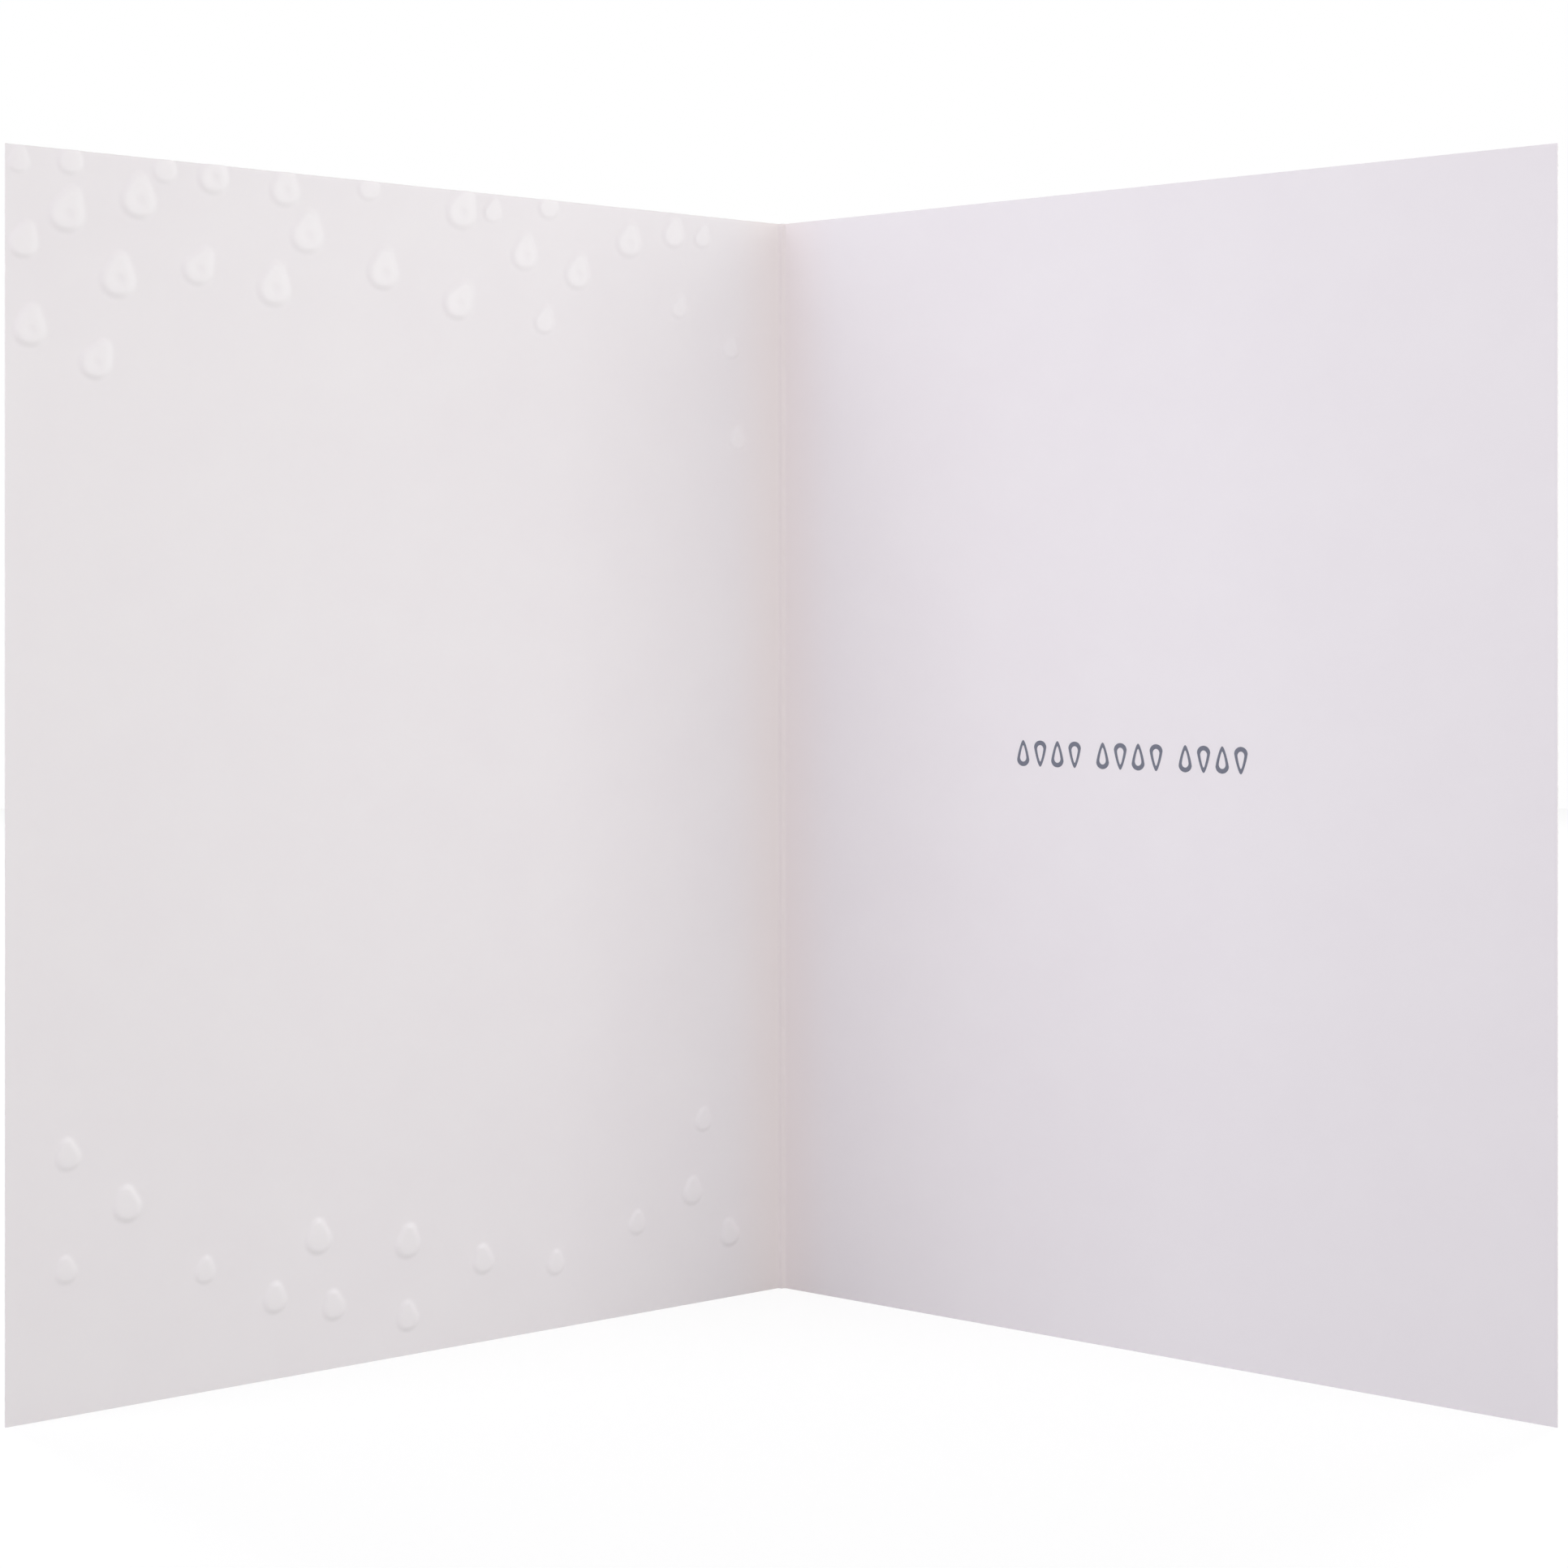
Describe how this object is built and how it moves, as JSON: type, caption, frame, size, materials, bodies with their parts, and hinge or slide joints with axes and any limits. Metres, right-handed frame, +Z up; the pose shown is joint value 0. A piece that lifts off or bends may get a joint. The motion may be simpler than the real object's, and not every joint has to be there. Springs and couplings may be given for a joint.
{
  "type": "greeting card",
  "caption": "Folded greeting card standing half open on its bottom edge, with a scored fold and small drops embossed in its cover.",
  "frame": {"origin": "middle of the base of the box round the card, on the surface that it stands on", "axes": "+Z up along the fold; X across the open card, with the embossed cover at -X and the back leaf at +X; +Y from the free edges towards the fold, so the inside faces -Y"},
  "size_m": [0.2154, 0.0676, 0.178],
  "materials": {
    "card_board": "smooth uncoated white board, matt"
  },
  "bodies": {
    "root": {"folded_card": "card_board"}
  },
  "joints": []
}
